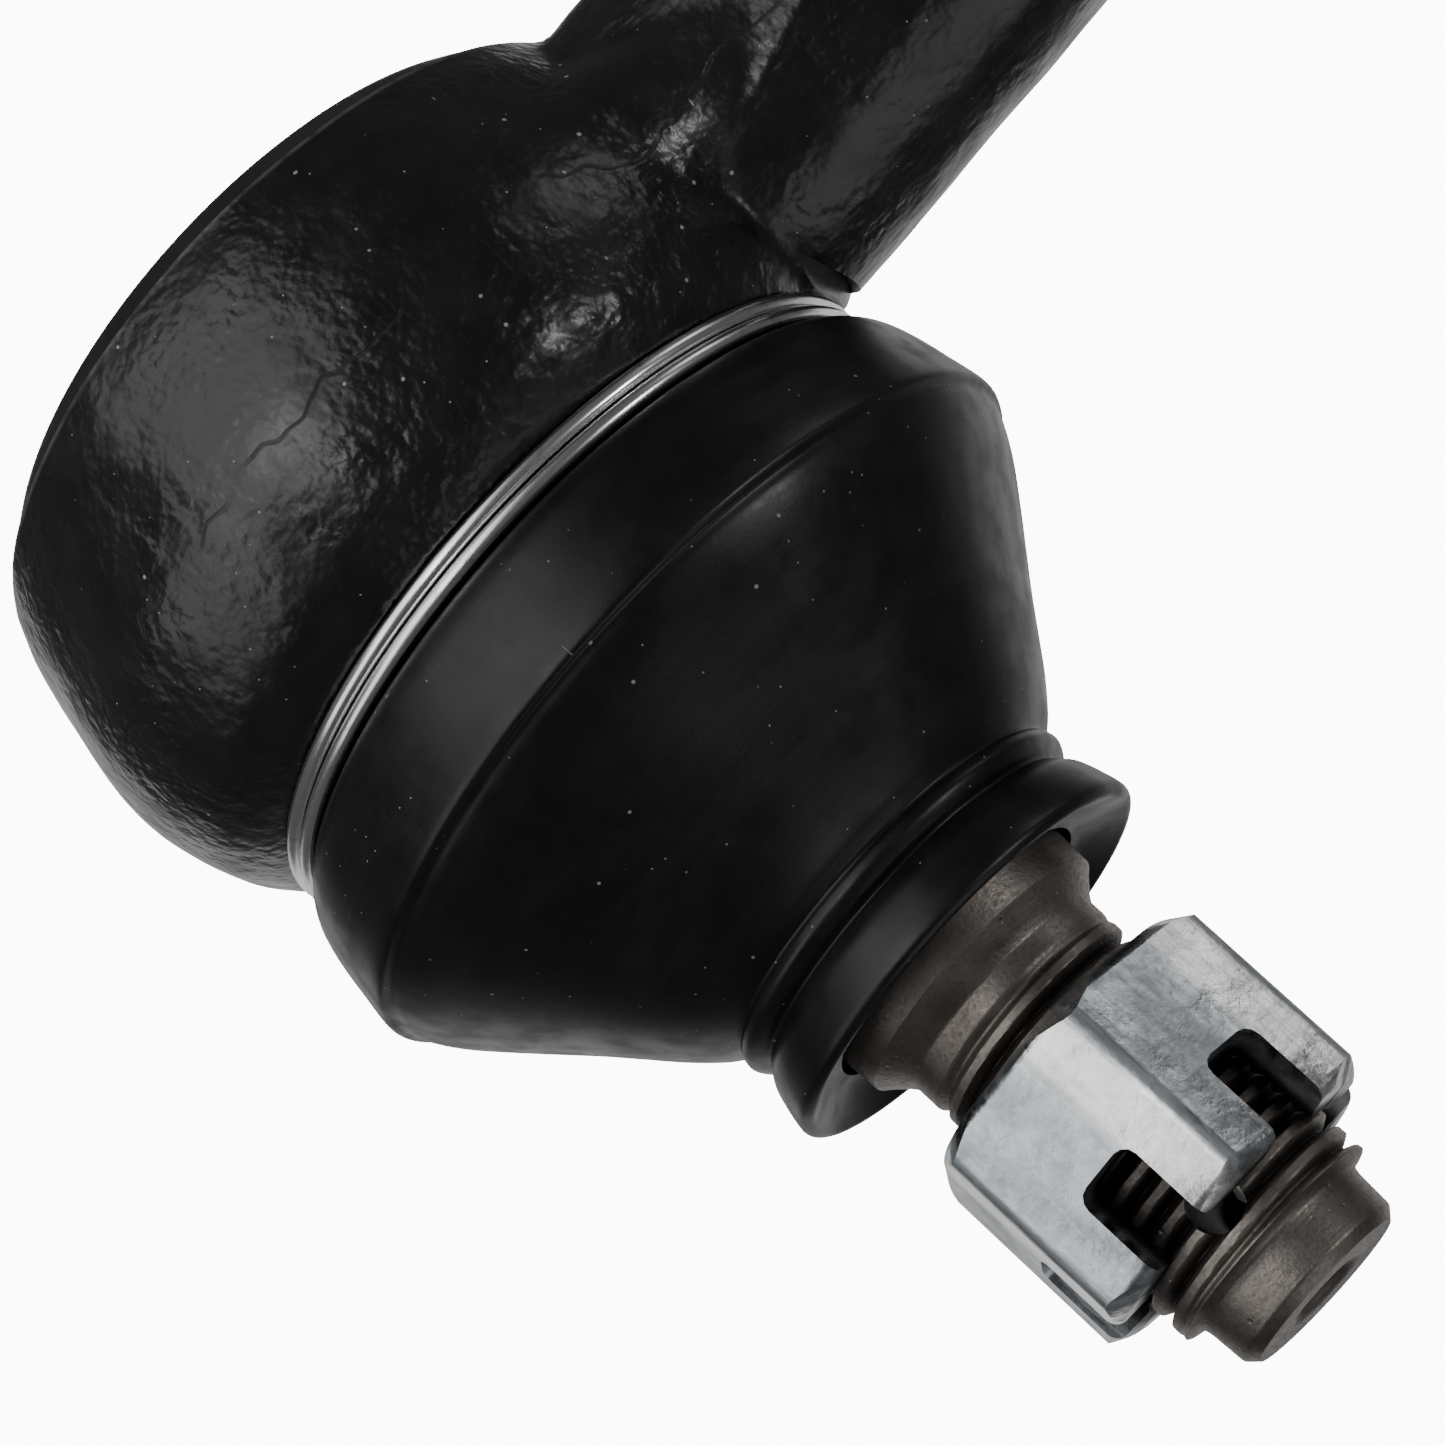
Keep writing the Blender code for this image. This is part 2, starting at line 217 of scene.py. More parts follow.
def spun(name: str, line: Sequence[Point], steps: int, axis: Axis = Axis.STUD, centre: float = 0.0,
         sharp: float = 32.0) -> Object:
    """Draw a line by extruding a point, then spin it a full turn.

    Args:
        name: The piece's name.
        line: (radius, height) points in millimetres; the height runs along the axis.
        steps: Steps of the spin.
        axis: The axis it is spun round.
        centre: For the shank's axis, its height.
        sharp: Edges over this many degrees stay sharp.

    Returns:
        The turned piece, with merged seams and outward faces.
    """
    if axis is Axis.STUD:
        spots = [Vector((r, 0.0, h)) * MM for r, h in line]
        middle, way = (0.0, 0.0, 0.0), (0.0, 0.0, 1.0)
    else:
        spots = [Vector((h, 0.0, centre + r)) * MM for r, h in line]
        middle, way = (0.0, 0.0, centre * MM), (1.0, 0.0, 0.0)
    lone()
    bpy.ops.mesh.primitive_plane_add(size=MM, location=(0.0, 0.0, 0.0))
    piece = bpy.context.object
    piece.name = piece.data.name = name
    opened(piece)
    bpy.ops.mesh.merge(type="CENTER")
    bpy.ops.transform.translate(value=spots[0])
    for here, there in zip(spots, spots[1:]):
        bpy.ops.mesh.extrude_region_move(TRANSFORM_OT_translate={"value": there - here})
    bpy.ops.mesh.select_all(action="SELECT")
    bpy.ops.mesh.spin(steps=steps, angle=2.0 * math.pi, center=middle, axis=way)
    return tidy_faces(piece, sharp)


def cut(piece: Object, other: Object, kind: Cut = Cut.AWAY) -> Object:
    """Cut one closed piece with another or add it on. The other one is used up."""
    modified(piece, "BOOLEAN", operation=kind.value, solver="MANIFOLD", object=other)
    bpy.data.objects.remove(other)
    return piece


def worn_edges(piece: Object, width: float, segments: int = 2, angle: float = 28.0) -> Object:
    """Bevel a piece's sharp edges by a width in millimetres."""
    return modified(piece, "BEVEL", width=width * MM, segments=segments, limit_method="ANGLE",
                    angle_limit=math.radians(angle), harden_normals=False)


def fused(name: str, pieces: Sequence[Object], voxel: float, rounds: int) -> Object:
    """Join pieces into one skin of even faces, with soft fillets where they meet.

    Args:
        name: The name of the joined piece.
        pieces: Closed pieces that overlap.
        voxel: Size of the faces, in millimetres.
        rounds: Smoothing passes.

    Returns:
        The joined piece.
    """
    only(pieces[0])
    for piece in pieces:
        piece.select_set(True)
    bpy.ops.object.join()
    body = bpy.context.object
    body.name = body.data.name = name
    modified(body, "REMESH", mode="VOXEL", voxel_size=voxel * MM, adaptivity=0.0)
    return modified(body, "SMOOTH", factor=0.5, iterations=rounds)


def embossed(piece: Object, height: Callable[[Vector, Vector], float]) -> Object:
    """Move every point along its normal by a height in millimetres."""
    mesh = piece.data
    normals = [n.vector.copy() for n in mesh.vertex_normals]
    for vertex, normal in zip(mesh.vertices, normals):
        vertex.co += normal * (height(vertex.co / MM, normal) * MM)
    mesh.update()
    return piece


def grain(spot: Vector, size: float, seed: float = 0.0) -> float:
    """Smooth noise from -1 to 1 with features of a size in millimetres."""
    return noise.noise(spot / size + Vector((seed, seed * 1.7, -seed)))


def ease(value: float, low: float, high: float) -> float:
    """Go smoothly from 0 at low to 1 at high."""
    t = min(max((value - low) / (high - low), 0.0), 1.0)
    return t * t * (3.0 - 2.0 * t)


@dataclass(frozen=True)
class Thread:
    """A rolled right-hand thread, in millimetres."""

    crest: float
    depth: float
    pitch: float
    start: float
    end: float
    fade: float = 1.6
    sharp_fade: float = 0.8
    root_share: float = 0.06
    flank_share: float = 0.60

    def band(self, per_turn: int) -> List[Point]:
        """Return the plain band that the helix is pressed into, with so many rows to a turn."""
        rows = int((self.end - self.start) / self.pitch * per_turn)
        return [(self.crest, self.start + (self.end - self.start) * i / rows) for i in range(rows + 1)]

    def roll(self, piece: Object, axis: Axis = Axis.STUD, centre: float = 0.0) -> Object:
        """Press the helix into a piece whose rows lie close together.

        Args:
            piece: A turned piece with a plain band at the crest radius.
            axis: The thread's axis.
            centre: For the shank's axis, its height.

        Returns:
            The same piece.
        """
        for vertex in piece.data.vertices:
            x, y, z = vertex.co / MM
            along, u, v = (z, x, y) if axis is Axis.STUD else (x, y, z - centre)
            radius = math.hypot(u, v)
            if not self.start <= along <= self.end or radius < self.crest - 0.02:
                continue
            phase = ((along - self.pitch * math.atan2(v, u) / (2.0 * math.pi)) / self.pitch) % 1.0
            ridge = min(max((abs(2.0 * phase - 1.0) - self.root_share) / self.flank_share, 0.0), 1.0)
            ridge = 0.75 * ridge + 0.25 * ridge * ridge * (3.0 - 2.0 * ridge)
            rise = ease(along, self.start, self.start + self.fade)
            fall = ease(-along, -self.end, -self.end + min(self.sharp_fade, self.fade))
            factor = (self.crest - self.depth * (1.0 - ridge) * rise * fall) / radius
            u, v = u * factor * MM, v * factor * MM
            vertex.co = (u, v, z * MM) if axis is Axis.STUD else (x * MM, u, v + centre * MM)
        piece.data.update()
        return piece


# ---- node sheets


class Sheet:
    """A material's node tree, with one short call for each kind of node."""

    def __init__(self, name: str) -> None:
        """Start a material with one Principled shader and Object coordinates."""
        self.material = bpy.data.materials.new(name)
        self.material.use_nodes = True
        self.tree = self.material.node_tree
        self.shader = self.tree.nodes["Principled BSDF"]
        self.place = self.tree.nodes.new("ShaderNodeTexCoord").outputs["Object"]

    def fill(self, socket: Socket, value: object) -> None:
        """Link a socket, or set its value."""
        if isinstance(value, bpy.types.NodeSocket):
            self.tree.links.new(value, socket)
        else:
            socket.default_value = value

    def node(self, kind: str, settings: Optional[Dict[str, object]] = None, **sockets: object) -> bpy.types.Node:
        """Add a node.

        Args:
            kind: The node's type.
            settings: Its properties.
            **sockets: Its inputs, with _ for a blank in a name.

        Returns:
            The node.
        """
        made = self.tree.nodes.new(kind)
        for key, value in (settings or {}).items():
            setattr(made, key, value)
        for key, value in sockets.items():
            self.fill(made.inputs[key.replace("_", " ")], value)
        return made

    def noise(self, scale: float, detail: float = 2.0, rough: float = 0.5, at: Optional[Socket] = None,
              twist: float = 0.0) -> Socket:
        """Noise from 0 to 1 with features of a size in millimetres."""
        return self.node("ShaderNodeTexNoise", None, Vector=at or self.place, Scale=1.0 / (scale * MM), Detail=detail,
                         Roughness=rough, Distortion=twist).outputs["Fac"]

    def cells(self, scale: float, at: Optional[Socket] = None) -> Tuple[Socket, bpy.types.Node]:
        """Distance to the nearest of points scattered about a size in millimetres apart, and its colour split up."""
        near = self.node("ShaderNodeTexVoronoi", {"feature": "F1"}, Vector=at or self.place, Scale=1.0 / (scale * MM))
        return near.outputs["Distance"], self.node("ShaderNodeSeparateColor", None, Color=near.outputs["Color"])

    def math(self, operation: str, a: object, b: object = 0.0) -> Socket:
        """One sum on two values."""
        made = self.tree.nodes.new("ShaderNodeMath")
        made.operation = operation
        self.fill(made.inputs[0], a)
        self.fill(made.inputs[1], b)
        return made.outputs[0]

    def times(self, a: object, b: object) -> Socket:
        """The product of two values."""
        return self.math("MULTIPLY", a, b)

    def plus(self, a: object, b: object) -> Socket:
        """The sum of two values."""
        return self.math("ADD", a, b)

    def most(self, a: object, b: object) -> Socket:
        """The greater of two values."""
        return self.math("MAXIMUM", a, b)

    def centred(self, value: object, reach: float) -> Socket:
        """Turn 0..1 into a swing of half a reach either way."""
        return self.times(self.math("SUBTRACT", value, 0.5), reach)

    def span(self, value: Socket, low: float, high: float, out_low: float = 0.0, out_high: float = 1.0) -> Socket:
        """Map low..high smoothly to out_low..out_high."""
        made = self.node("ShaderNodeMapRange", {"interpolation_type": "SMOOTHSTEP"}, Value=value)
        for name, number in (("From Min", low), ("From Max", high), ("To Min", out_low), ("To Max", out_high)):
            made.inputs[name].default_value = number
        return made.outputs["Result"]

    def between(self, value: Socket, low: float, high: float, soft: float) -> Socket:
        """1 inside low..high, and 0 outside, over a soft edge."""
        up = self.span(value, low - soft, low + soft)
        down = self.span(value, high - soft, high + soft, 1.0, 0.0)
        return self.times(up, down)

    def mix(self, amount: object, a: object, b: object) -> Socket:
        """A colour between two."""
        made = self.tree.nodes.new("ShaderNodeMix")
        made.data_type = "RGBA"
        colours = [s for s in made.inputs if s.type == "RGBA"]
        self.fill(made.inputs[0], amount)
        self.fill(colours[0], a)
        self.fill(colours[1], b)
        return next(s for s in made.outputs if s.type == "RGBA")

    def stretched(self, scale: Sequence[float], turn: Sequence[float] = (0.0, 0.0, 0.0),
                  at: Optional[Socket] = None) -> Socket:
        """Coordinates scaled along each axis, and turned."""
        return self.node("ShaderNodeMapping", None, Vector=at or self.place, Scale=tuple(scale),
                         Rotation=tuple(turn)).outputs["Vector"]

    def parts(self) -> Tuple[Socket, ...]:
        """The x, y and z of the coordinates."""
        made = self.node("ShaderNodeSeparateXYZ", None, Vector=self.place)
        return made.outputs[0], made.outputs[1], made.outputs[2]

    def turned(self, reach: float = 20.0) -> Tuple[Socket, ...]:
        """Coordinates of a turned piece about the stud's axis.

        Args:
            reach: The radius in millimetres at which a turn is measured.

        Returns:
            The radius, the height, and a vector of (distance round, radius, height), all in metres.
        """
        x, y, z = self.parts()
        angle = self.math("ARCTAN2", y, x)
        radius = self.math("SQRT", self.plus(self.times(x, x), self.times(y, y)))
        vector = self.node("ShaderNodeCombineXYZ", None, X=self.times(angle, reach * MM), Y=radius, Z=z)
        return radius, z, vector.outputs[0]

    def bump(self, height: Socket, depth: float, normal: Optional[Socket] = None) -> Socket:
        """Add relief of a depth in millimetres to a normal."""
        made = self.node("ShaderNodeBump", None, Height=height, Strength=1.0, Distance=depth * MM)
        if normal is not None:
            self.fill(made.inputs["Normal"], normal)
        return made.outputs["Normal"]

    def specks(self, scale: float, size: float, share: float) -> Socket:
        """Scattered specks, about scale apart and size across, on a share of the places."""
        distance, colour = self.cells(scale)
        ratio = size / scale
        wobble = self.centred(self.noise(size * 0.8, 1.0), 0.3 * ratio)
        dot = self.span(self.plus(distance, wobble), 0.35 * ratio, 0.6 * ratio, 1.0, 0.0)
        return self.times(dot, self.math("GREATER_THAN", colour.outputs[0], 1.0 - share))

    def hairs(self, scale: float, turn: Sequence[float], share: float) -> Socket:
        """Short fine scratches and fibres, lying along one direction of the piece."""
        bent = self.node("ShaderNodeVectorMath", {"operation": "ADD"})
        self.fill(bent.inputs[0], self.place)
        drift = self.node("ShaderNodeTexNoise", None, Vector=self.place, Scale=1.0 / (4.0 * MM), Detail=1.0)
        shift = self.node("ShaderNodeVectorMath", {"operation": "SCALE"})
        self.fill(shift.inputs[0], drift.outputs["Color"])
        shift.inputs["Scale"].default_value = 2.2 * MM
        self.fill(bent.inputs[1], shift.outputs[0])
        distance, colour = self.cells(scale, self.stretched((1.0, 1.0, 0.12), turn, bent.outputs[0]))
        line = self.span(distance, 0.012, 0.03, 1.0, 0.0)
        return self.times(line, self.math("GREATER_THAN", colour.outputs[1], 1.0 - share))

    def finish(self, colour: object, roughness: object, normal: Optional[Socket] = None, metallic: float = 0.0,
               **constants: float) -> bpy.types.Material:
        """Wire the shader and return the material.

        Args:
            colour: The base colour, or its socket.
            roughness: The roughness, or its socket.
            normal: The relief's normal.
            metallic: 1 for bare or plated metal.
            **constants: Values set on the shader's own sockets, with _ for a blank.

        Returns:
            The material.
        """
        self.fill(self.shader.inputs["Base Color"], colour)
        self.fill(self.shader.inputs["Roughness"], roughness)
        self.shader.inputs["Metallic"].default_value = metallic
        if normal is not None:
            self.fill(self.shader.inputs["Normal"], normal)
        for key, value in constants.items():
            self.shader.inputs[key.replace("_", " ")].default_value = value
        return self.material


def tone(r: float, g: float, b: float) -> Colour:
    """A colour with full alpha."""
    return (r, g, b, 1.0)


# ---- finishes


@dataclass(frozen=True)
class ForgedPaint:
    """Black gloss paint over an as-forged skin, with orange peel, a die line with painted shade along it, a painted
    highlight line on the rim broken up like worn paint, rust and dust.
    """

    colour: Colour = tone(0.0075, 0.0078, 0.0085)
    sheen: Colour = tone(0.013, 0.0135, 0.0145)
    crease_shade: Colour = tone(0.003, 0.003, 0.003)
    # the worn colour also paints the highlight line on the rim edge
    worn: Colour = tone(0.10, 0.10, 0.10)
    rust: Colour = tone(0.035, 0.014, 0.012)
    dust: Colour = tone(0.50, 0.50, 0.48)
    roughness: float = 0.30
    peel: float = 0.085
    line_height: float = 14.6
    line_wander: float = 5.5
    line_width: float = 0.20
    line_depth: float = 0.05
    rim_highlight: Point = (2.25, 2.6)

    def material(self) -> bpy.types.Material:
        """Build the paint's material."""
        s = Sheet("forged_paint")
        _, _, z = s.parts()
        rough_skin = s.span(s.noise(9.0, 2.0, 0.5), 0.40, 0.60, 1.0, 0.45)
        normal = s.bump(s.noise(2.0, 1.0, 0.5), self.peel * 1.5)
        normal = s.bump(s.times(s.noise(0.85, 1.0, 0.5), rough_skin), self.peel * 1.9, normal)
        normal = s.bump(s.times(s.noise(0.42, 1.0, 0.5), rough_skin), self.peel * 0.5, normal)
        # die line round the head, broken into wandering stretches
        wander = s.centred(s.noise(6.5, 2.0, 0.6), self.line_wander * MM)
        off = s.math("ABSOLUTE", s.math("SUBTRACT", s.math("SUBTRACT", z, wander), self.line_height * MM))
        groove = s.span(off, 0.0, self.line_width * MM)
        broken = s.span(s.noise(7.0, 1.0, 0.4, s.stretched((1.0, 1.0, 0.3))), 0.46, 0.54)
        groove = s.most(groove, broken)
        normal = s.bump(groove, self.line_depth, normal)
        dust = s.most(s.specks(1.9, 0.26, 0.30), s.specks(0.9, 0.12, 0.30))
        dust = s.most(dust, s.hairs(2.6, (0.4, 0.9, 0.3), 0.35))
        colour = s.mix(s.span(s.noise(5.0, 3.0), 0.3, 0.75), self.colour, self.sheen)
        # painted shade: the die line's groove is darkened along its middle
        colour = s.mix(groove, self.crease_shade, colour)
        # painted highlight: a lighter line round the rim edge, broken up by noise like rubbed paint
        edge = s.between(z, self.rim_highlight[0] * MM, self.rim_highlight[1] * MM, 0.12 * MM)
        edge = s.times(edge, s.span(s.noise(1.6, 2.0), 0.35, 0.6, 0.3, 0.9))
        colour = s.mix(edge, colour, self.worn)
        rust = s.times(s.span(s.noise(4.5, 3.0, 0.6), 0.66, 0.80), 0.35)
        colour = s.mix(rust, colour, self.rust)
        colour = s.mix(s.times(dust, 0.8), colour, self.dust)
        gloss = s.span(s.noise(2.6, 3.0), 0.25, 0.8, self.roughness - 0.06, self.roughness + 0.10)
        gloss = s.plus(gloss, s.times(dust, 0.25))
        gloss = s.plus(gloss, s.times(s.math("SUBTRACT", 1.0, groove), 0.35))
        return s.finish(colour, gloss, normal, Coat_Weight=0.25, Coat_Roughness=0.24)


@dataclass(frozen=True)
class TurnedPaint:
    """The same paint over turned faces: smoother, duller, with faint tool rings."""

    colour: Colour = tone(0.008, 0.0083, 0.009)
    sheen: Colour = tone(0.018, 0.0182, 0.019)
    dust: Colour = tone(0.3, 0.3, 0.29)
    roughness: float = 0.32

    def material(self) -> bpy.types.Material:
        """Build the paint's material."""
        s = Sheet("turned_paint")
        _, _, wrapped = s.turned(22.0)
        rings = s.noise(0.5, 2.0, 0.5, s.stretched((0.03, 1.0, 1.0), at=wrapped))
        normal = s.bump(rings, 0.012)
        normal = s.bump(s.noise(1.6, 2.0, 0.5), 0.05, normal)
        dust = s.specks(2.6, 0.14, 0.4)
        colour = s.mix(s.span(s.noise(4.0, 2.0), 0.3, 0.7), self.colour, self.sheen)
        colour = s.mix(s.times(dust, 0.5), colour, self.dust)
        gloss = s.span(s.noise(3.0, 2.0), 0.3, 0.7, self.roughness - 0.05, self.roughness + 0.09)
        return s.finish(colour, gloss, normal, Coat_Weight=0.25, Coat_Roughness=0.3)


@dataclass(frozen=True)
class BootRubber:
    """Satin black rubber with faint mould rings, a pale bloom, specks and small scuffs."""

    colour: Colour = tone(0.0060, 0.0062, 0.0064)
    bloom: Colour = tone(0.015, 0.0155, 0.016)
    dust: Colour = tone(0.42, 0.42, 0.40)
    roughness: float = 0.36

    def material(self) -> bpy.types.Material:
        """Build the rubber's material."""
        s = Sheet("boot_rubber")
        _, _, wrapped = s.turned(18.0)
        rings = s.noise(0.9, 2.0, 0.5, s.stretched((0.05, 1.0, 1.0), at=wrapped))
        normal = s.bump(s.noise(7.0, 1.0, 0.4), 0.10)
        normal = s.bump(rings, 0.016, normal)
        normal = s.bump(s.noise(0.30, 2.0, 0.6), 0.006, normal)
        smear = s.span(s.noise(3.2, 4.0, 0.65, s.stretched((0.35, 1.0, 1.0), at=wrapped)), 0.46, 0.82)
        specks = s.most(s.specks(1.9, 0.24, 0.30), s.specks(0.9, 0.12, 0.35))
        scuffs = s.hairs(2.6, (0.9, 0.5, 0.2), 0.40)
        marks = s.most(specks, s.times(scuffs, 0.6))
        colour = s.mix(smear, self.colour, self.bloom)
        colour = s.mix(s.times(marks, 0.75), colour, self.dust)
        gloss = s.span(s.noise(2.2, 3.0, 0.55), 0.3, 0.75, self.roughness - 0.05, self.roughness + 0.08)
        gloss = s.plus(gloss, s.times(marks, 0.3))
        return s.finish(colour, gloss, normal, Specular_IOR_Level=0.42)


@dataclass(frozen=True)
class ZincPlate:
    """Zinc over cold-formed flats: bluish, clouded, scratched and worn, with a painted highlight beside each corner and
    painted shade in the bore seen through the slots.
    """

    bright: Colour = tone(0.50, 0.535, 0.56)
    cloud: Colour = tone(0.30, 0.33, 0.36)
    streak: Colour = tone(0.50, 0.53, 0.56)
    # near-white, for worn patches and for the painted corner highlight
    wear_and_highlight: Colour = tone(0.96, 0.975, 0.95)
    bore_shade: Colour = tone(0.035, 0.033, 0.031)
    bore: float = 8.9
    corner: float = math.radians(74.0)

    def material(self) -> bpy.types.Material:
        """Build the plating's material."""
        s = Sheet("zinc_plate")
        radius, _, _ = s.turned(10.0)
        clouds = s.noise(3.4, 4.0, 0.60, twist=0.3)
        mottle = s.noise(0.50, 3.0, 0.6)
        drawn = s.noise(0.45, 2.0, 0.5, s.stretched((1.0, 1.0, 0.08)))
        nicks = s.hairs(1.6, (0.3, 0.2, 0.7), 0.25)
        colour = s.mix(s.times(s.span(clouds, 0.42, 0.72), 0.60), self.bright, self.cloud)
        colour = s.mix(s.times(s.span(mottle, 0.52, 0.78), 0.30), colour, self.cloud)
        streaks = s.noise(0.9, 3.0, 0.6, s.stretched((1.0, 1.0, 0.10)))
        colour = s.mix(s.times(s.span(streaks, 0.48, 0.70), 0.45), colour, self.streak)
        # painted highlight: a bright stripe on each flat beside its corner
        x, y, _ = s.parts()
        sixth = math.pi / 3.0
        way = s.plus(s.math("ARCTAN2", y, x), 4.0 * math.pi - self.corner)
        past = s.math("MODULO", s.plus(way, s.centred(streaks, 0.16)), sixth)
        corner_highlight = s.times(s.span(past, 0.02, 0.07), s.span(past, 0.25, 0.42, 1.0, 0.0))
        corner_highlight = s.times(corner_highlight, s.span(mottle, 0.25, 0.6, 0.75, 1.0))
        worn = s.span(s.noise(0.8, 3.0, 0.6, s.stretched((1.0, 1.0, 0.15))), 0.62, 0.78, 0.0, 0.5)
        colour = s.mix(s.most(worn, corner_highlight), colour, self.wear_and_highlight)
        # painted shade: the tapped bore, seen through the slots, is darkened
        inner = s.span(radius, (self.bore - 1.2) * MM, (self.bore + 0.35) * MM, 1.0, 0.0)
        colour = s.mix(inner, colour, self.bore_shade)
        cloudy = s.plus(s.times(clouds, 0.6), s.times(mottle, 0.4))
        gloss = s.span(cloudy, 0.3, 0.7, 0.20, 0.38)
        gloss = s.plus(gloss, s.times(s.span(streaks, 0.4, 0.7), 0.10))
        gloss = s.plus(gloss, s.times(inner, 0.25))
        near_corner = s.most(s.span(past, 0.0, 0.06, 1.0, 0.0), s.span(past, sixth - 0.06, sixth))
        gloss = s.plus(gloss, s.times(near_corner, 0.22))
        normal = s.bump(s.noise(3.2, 2.0, 0.5), 0.20)
        normal = s.bump(drawn, 0.026, normal)
        normal = s.bump(mottle, 0.034, normal)
        normal = s.bump(nicks, 0.03, normal)
        return s.finish(colour, gloss, normal, 1.0)


@dataclass(frozen=True)
class ZincWire:
    """Drawn wire with bright zinc on it and streaks along its turns."""

    bright: Colour = tone(0.90, 0.92, 0.91)
    dull: Colour = tone(0.42, 0.44, 0.44)
    spot: Colour = tone(0.25, 0.26, 0.27)

    def material(self) -> bpy.types.Material:
        """Build the wire's material."""
        s = Sheet("zinc_wire")
        _, _, wrapped = s.turned(22.0)
        streaks = s.noise(0.30, 3.0, 0.6, s.stretched((0.02, 1.0, 1.0), at=wrapped))
        spots = s.noise(1.4, 3.0, 0.6)
        colour = s.mix(s.times(s.span(streaks, 0.48, 0.80), 0.25), self.bright, self.dull)
        colour = s.mix(s.times(s.span(spots, 0.55, 0.8), 0.5), colour, self.spot)
        gloss = s.span(streaks, 0.3, 0.7, 0.20, 0.32)
        normal = s.bump(streaks, 0.0015)
        return s.finish(colour, gloss, normal, 1.0)


@dataclass(frozen=True)
class TurnedSteel:
    """Bare stud steel: warm grey, fine turning rings, brown film, with painted shade in the thread roots and under the
    nut.
    """

    light: Colour = tone(0.34, 0.31, 0.285)
    film: Colour = tone(0.125, 0.108, 0.094)
    # dark colour for the painted shade in the thread roots and under the nut
    root: Colour = tone(0.022, 0.019, 0.017)
    crest: float = 7.0
    thread_start: float = 59.0
    thread_end: float = 77.9
    under_nut: Point = (61.5, 75.0)

    def material(self) -> bpy.types.Material:
        """Build the steel's material."""
        s = Sheet("turned_steel")
        radius, height, wrapped = s.turned(7.0)
        tool = s.noise(0.16, 2.0, 0.55, s.stretched((0.02, 1.0, 1.0), at=wrapped))
        film = s.noise(3.2, 3.0, 0.5)
        dots = s.noise(0.28, 3.0, 0.6)
        colour = s.mix(s.span(film, 0.30, 0.75, 0.25, 0.75), self.light, self.film)
        colour = s.mix(s.times(s.span(dots, 0.52, 0.72), 0.35), colour, self.film)
        colour = s.mix(s.times(s.span(tool, 0.55, 0.75), 0.25), colour, self.film)
        # painted shade: the thread roots are darkened by radius
        in_thread = s.between(height, self.thread_start * MM, self.thread_end * MM, 0.15 * MM)
        root_shade_mask = s.span(radius, (self.crest - 0.80) * MM, (self.crest - 0.15) * MM, 1.0, 0.0)
        dark = s.times(in_thread, root_shade_mask)
        colour = s.mix(s.times(dark, 0.88), colour, self.root)
        # painted shadow: the stud is darkened where the nut covers it
        shadowed = s.between(height, self.under_nut[0] * MM, self.under_nut[1] * MM, 0.4 * MM)
        colour = s.mix(s.times(shadowed, 0.62), colour, self.root)
        gloss = s.span(dots, 0.3, 0.7, 0.40, 0.55)
        gloss = s.plus(gloss, s.times(dark, 0.12))
        normal = s.bump(tool, 0.010)
        normal = s.bump(dots, 0.028, normal)
        pits = s.span(s.cells(1.3)[0], 0.05, 0.14)
        normal = s.bump(pits, 0.03, normal)
        return s.finish(colour, gloss, normal, 1.0)


@dataclass(frozen=True)
class InnerMetal:
    """Oiled metal of a hidden piece: spring wire or pressed plate."""

    name: str
    light: Colour
    dark: Colour
    roughness: float

    def material(self) -> bpy.types.Material:
        """Build the metal's material."""
        s = Sheet(self.name)
        _, _, wrapped = s.turned(12.0)
        streaks = s.noise(0.4, 3.0, 0.6, s.stretched((0.05, 1.0, 1.0), at=wrapped))
        film = s.noise(2.0, 3.0, 0.6)
        colour = s.mix(s.span(film, 0.35, 0.7), self.light, self.dark)
        gloss = s.span(streaks, 0.3, 0.7, self.roughness - 0.06, self.roughness + 0.10)
        return s.finish(colour, gloss, s.bump(streaks, 0.012), 1.0)


@dataclass(frozen=True)
class InnerPlastic:
    """Moulded acetal or seal rubber of a hidden piece, with a smear of grease."""

    name: str
    colour: Colour
    grease: Colour
    roughness: float

    def material(self) -> bpy.types.Material:
        """Build the plastic's material."""
        s = Sheet(self.name)
        smear = s.noise(3.0, 4.0, 0.6, twist=0.8)
        skin = s.noise(0.35, 2.0, 0.6)
        colour = s.mix(s.span(smear, 0.45, 0.75), self.colour, self.grease)
        gloss = s.span(smear, 0.4, 0.7, self.roughness + 0.1, self.roughness - 0.1)
        return s.finish(colour, gloss, s.bump(skin, 0.01), 0.0)


# ---- sub-assemblies


